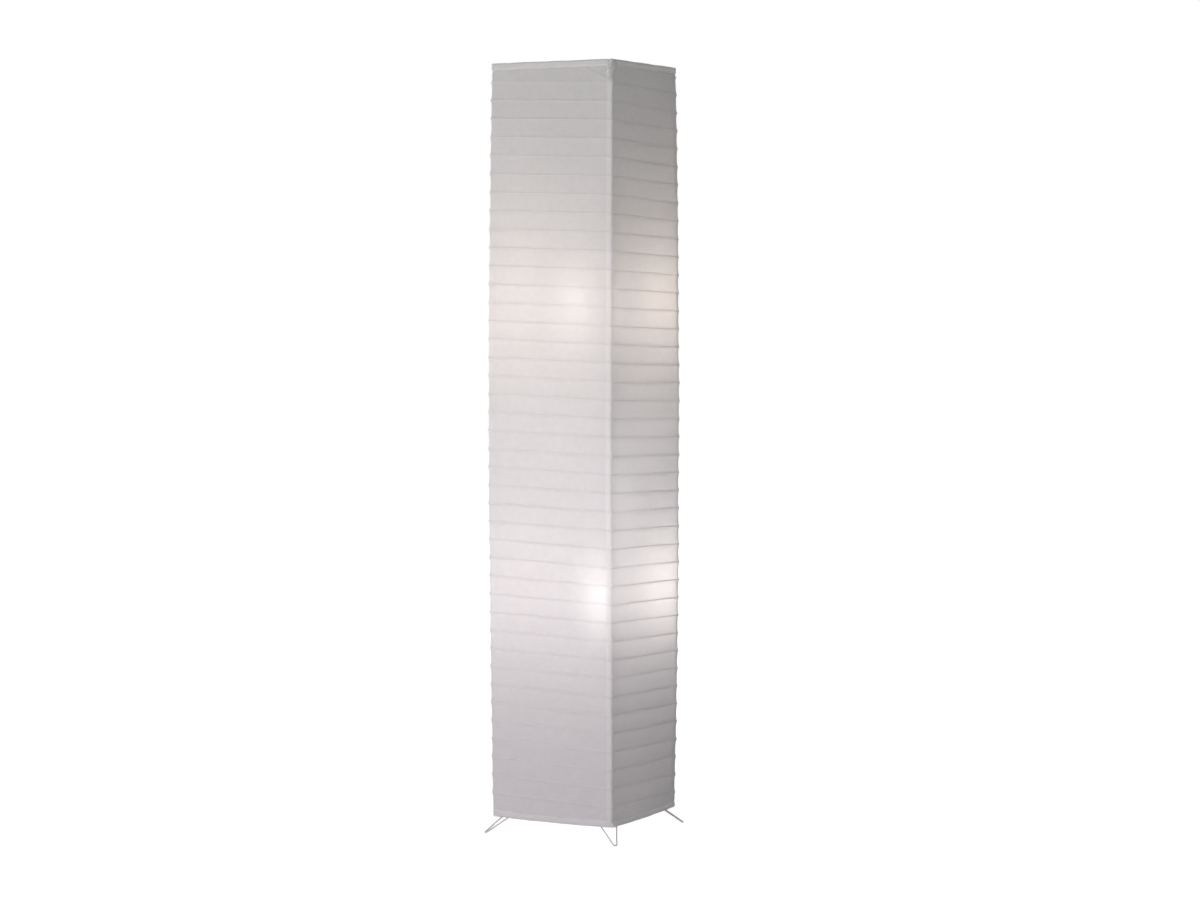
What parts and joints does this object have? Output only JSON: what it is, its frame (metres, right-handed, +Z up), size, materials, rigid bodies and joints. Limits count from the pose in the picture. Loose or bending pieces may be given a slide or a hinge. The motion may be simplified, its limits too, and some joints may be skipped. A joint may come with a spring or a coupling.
{
  "type": "paper lantern floor lamp",
  "caption": "Tall square paper lantern floor lamp on thin V wire legs, ribbed by one wound wire, with a pole and bulbs inside.",
  "frame": {"origin": "floor level on the axis of the pole, centre of the shade's square", "axes": "+Z up, +X out of the right-hand visible face, -Y out of the left-hand visible face"},
  "size_m": [0.2272, 0.2272, 1.16],
  "materials": {
    "white_steel": "satin white powder coat",
    "zinc_steel": "bright zinc plate",
    "white_plastic": "matte",
    "holder_plastic": "matte",
    "insert_ceramic": "unglazed",
    "screw_brass": "plain",
    "lead_jacket": "matte",
    "solder_tip": "dull solder",
    "bulb_cap": "plain",
    "bulb_glass": "frosted opal",
    "rice_paper": "white wrinkled rice paper",
    "hem_paper": "white rice paper, folded and glued",
    "rib_steel": "thin white lacquer"
  },
  "bodies": {
    "base": {"base_square": "white_steel", "base_spoke_front": "white_steel", "base_spoke_right": "white_steel", "base_spoke_back": "white_steel", "base_spoke_left": "white_steel", "base_hub": "white_steel", "leg_front_left": "white_steel", "leg_front_right": "white_steel", "leg_back_right": "white_steel", "leg_back_left": "white_steel", "pole_lower": "white_steel", "pole_middle": "white_steel", "pole_upper": "white_steel", "arm_lower": "white_steel", "arm_upper": "white_steel", "pole_joint_lower": "zinc_steel", "pole_joint_upper": "zinc_steel", "nipple_lower": "zinc_steel", "nipple_upper": "zinc_steel", "nipple_nuts": "zinc_steel", "grub_screws": "zinc_steel", "pole_cap": "white_plastic", "cord_gland": "white_plastic", "lead_clips": "white_plastic", "holder_cap_lower": "holder_plastic", "holder_cap_upper": "holder_plastic", "holder_skirt_lower": "holder_plastic", "holder_skirt_upper": "holder_plastic", "holder_insert_lower": "insert_ceramic", "holder_insert_upper": "insert_ceramic", "holder_shell_lower": "screw_brass", "holder_shell_upper": "screw_brass", "holder_contact_lower": "screw_brass", "holder_contact_upper": "screw_brass", "supply_lead": "lead_jacket", "link_lead": "lead_jacket"},
    "bulb_lower_foot": {"bulb_tip_lower": "solder_tip"},
    "bulb_lower": {"bulb_cap_lower": "bulb_cap", "bulb_glass_lower": "bulb_glass"},
    "bulb_upper_foot": {"bulb_tip_upper": "solder_tip"},
    "bulb_upper": {"bulb_cap_upper": "bulb_cap", "bulb_glass_upper": "bulb_glass"},
    "shade": {"paper_front": "rice_paper", "paper_right": "rice_paper", "paper_back": "rice_paper", "paper_left": "rice_paper", "top_hem": "hem_paper", "bottom_hem": "hem_paper", "rib_wire": "rib_steel", "top_wire": "white_steel", "bottom_wire": "white_steel", "top_hub": "white_steel", "top_spoke_front": "white_steel", "top_spoke_right": "white_steel", "top_spoke_back": "white_steel", "top_spoke_left": "white_steel"}
  },
  "joints": [
    {"name": "shade_lift", "type": "slide", "parent": "base", "child": "shade", "axis": [0, 0, 1], "range_m": [0, 1.15]},
    {"name": "bulb_lower_rise", "type": "slide", "parent": "base", "child": "bulb_lower_foot", "axis": [0, 0, 1], "range_m": [0, 0.01472]},
    {"name": "bulb_lower_turn", "type": "hinge", "parent": "bulb_lower_foot", "child": "bulb_lower", "pos_m": [0, 0.047, 0.369], "axis": [0, 0, 1], "range_deg": [0, 1440]},
    {"name": "bulb_upper_rise", "type": "slide", "parent": "base", "child": "bulb_upper_foot", "axis": [0, 0, 1], "range_m": [0, 0.01472]},
    {"name": "bulb_upper_turn", "type": "hinge", "parent": "bulb_upper_foot", "child": "bulb_upper", "pos_m": [-0.01607, 0.04417, 0.8], "axis": [0, 0, 1], "range_deg": [0, 1440]}
  ],
  "couplings": [
    {"joint": "bulb_lower_rise", "follows": "bulb_lower_turn", "m_per_rad": 0.00057757},
    {"joint": "bulb_upper_rise", "follows": "bulb_upper_turn", "m_per_rad": 0.00057757}
  ]
}
